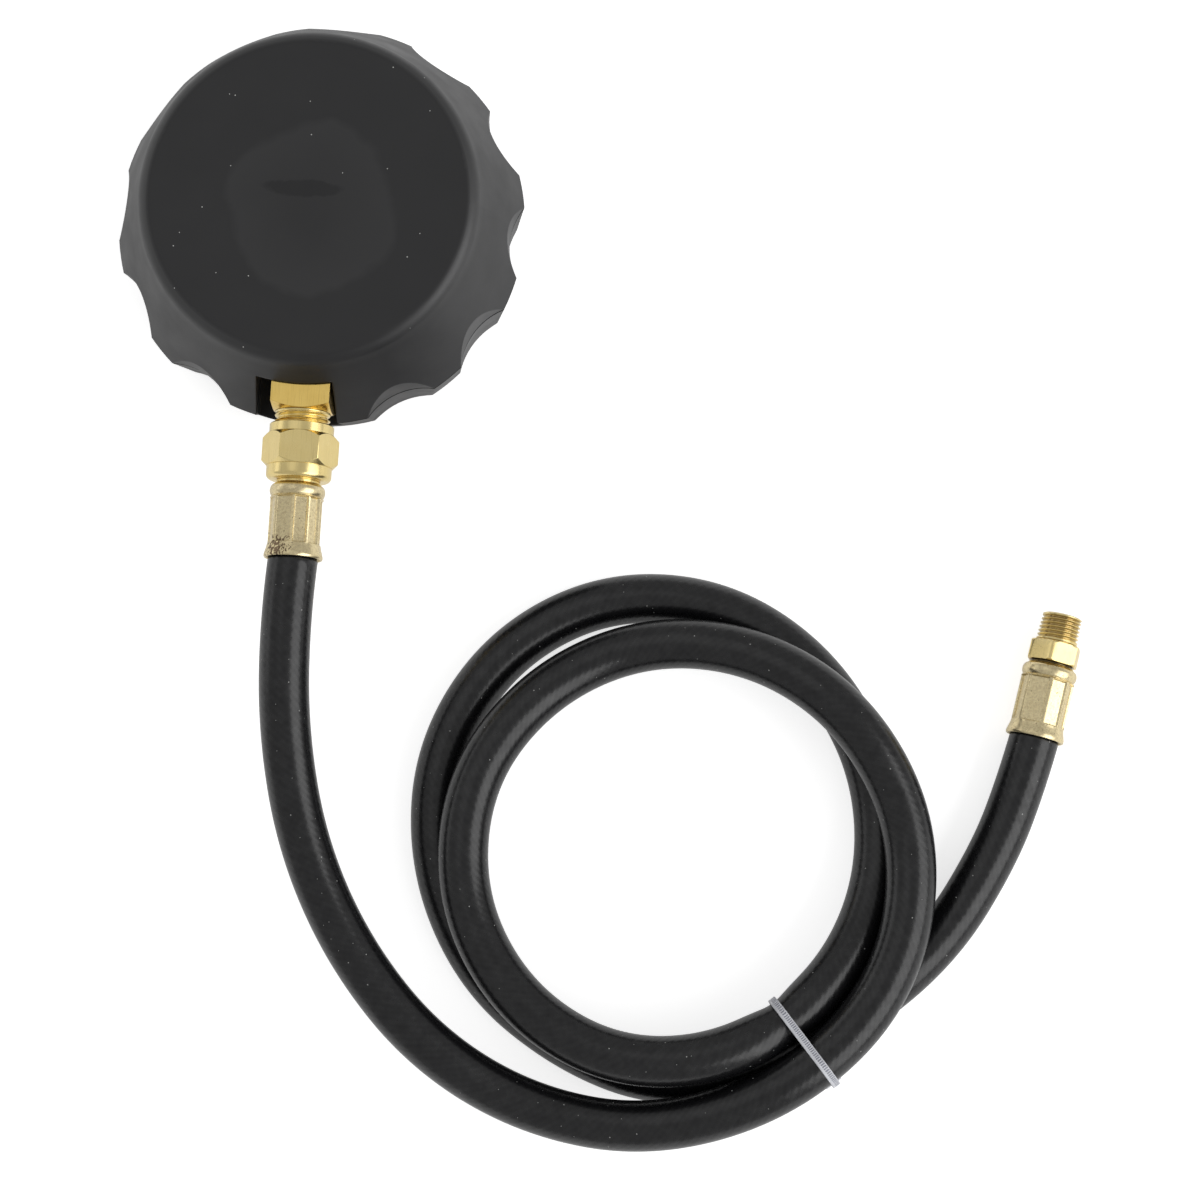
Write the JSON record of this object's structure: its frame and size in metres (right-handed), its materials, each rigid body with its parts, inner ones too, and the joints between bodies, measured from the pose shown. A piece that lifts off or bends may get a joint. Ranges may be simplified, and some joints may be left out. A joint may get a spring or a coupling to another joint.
{
  "type": "engine oil pressure tester",
  "caption": "Round pressure gauge in a scalloped rubber boot, with a brass stem and swivel nut, and a crimped rubber hose that lies in tied loops and ends in a tapered threaded fitting.",
  "frame": {"origin": "centre of the gauge's face side, in the plane that the boot's front rim rests on", "axes": "+Z along the gauge's axis from its face to its back, so up as it lies; -Y along the stem, from the gauge towards the hose"},
  "size_m": [0.2326, 0.2612, 0.043],
  "materials": {
    "boot_rubber": "matte, softly textured",
    "hose_rubber": "satin, fine cloth grain",
    "polished_brass": "machined, bright",
    "satin_brass": "satin",
    "crimped_brass": "dull, olive tint",
    "tube_bronze": "drawn",
    "movement_brass": "stamped",
    "spring_bronze": "polished strip",
    "zinc_steel": "zinc plated",
    "case_paint": "satin black",
    "bezel_chrome": "polished",
    "window": "clear",
    "gasket_rubber": "matte",
    "dial_paint": "matte white",
    "pointer_paint": "matte black",
    "clear_nylon": "translucent"
  },
  "bodies": {
    "tester": {"boot": "boot_rubber", "socket": "polished_brass", "lead_ferrule": "crimped_brass", "hose": "hose_rubber", "cable_tie": "clear_nylon", "tail_ferrule": "crimped_brass", "tail_fitting": "satin_brass", "hose_insert": "satin_brass", "seat_washer": "zinc_steel", "case": "case_paint", "case_screws": "zinc_steel", "bezel": "bezel_chrome", "lens": "window", "window_gasket": "gasket_rubber", "dial": "dial_paint", "dial_screws": "zinc_steel", "stop_pin": "zinc_steel", "hairspring": "spring_bronze", "movement_front_plate": "movement_brass", "movement_back_plate": "movement_brass", "movement_pillars": "movement_brass", "movement_screws": "zinc_steel", "bourdon_tube": "tube_bronze"},
    "pointer": {"pinion_spindle": "zinc_steel", "pointer": "pointer_paint"},
    "sector": {"sector_gear": "movement_brass", "sector_arbor": "zinc_steel", "sector_link_screw": "zinc_steel"},
    "pull_link": {"link": "movement_brass"},
    "tube_end": {"tube_tip": "movement_brass", "tip_link_screw": "zinc_steel"},
    "nut": {"swivel_nut": "satin_brass"}
  },
  "joints": [
    {"name": "sector_swing", "type": "hinge", "parent": "tester", "child": "sector", "pos_m": [-0.00853, -0.01585, 0.0139], "axis": [0, 0, 1], "range_deg": [-30, 0]},
    {"name": "pointer_turn", "type": "hinge", "parent": "tester", "child": "pointer", "pos_m": [0, 0, 0.0139], "axis": [0, 0, 1], "range_deg": [0, 270], "deforming": ["hairspring"]},
    {"name": "link_pivot", "type": "hinge", "parent": "sector", "child": "pull_link", "pos_m": [-0.01447, -0.02059, 0.0148], "axis": [0, 0, 1], "range_deg": [0, 30]},
    {"name": "tip_flex", "type": "hinge", "parent": "tester", "child": "tube_end", "pos_m": [0.0038, 0.0058, 0.0265], "axis": [0, 0, 1], "range_deg": [-8.4, 0], "deforming": ["bourdon_tube"]},
    {"name": "nut_spin", "type": "hinge", "parent": "tester", "child": "nut", "pos_m": [0, -0.0565, 0.0265], "axis": [0, -1, 0], "continuous": true}
  ],
  "couplings": [
    {"joint": "pointer_turn", "follows": "sector_swing", "ratio": -9},
    {"joint": "link_pivot", "follows": "sector_swing", "ratio": -1},
    {"joint": "tip_flex", "follows": "sector_swing", "ratio": 0.28}
  ]
}
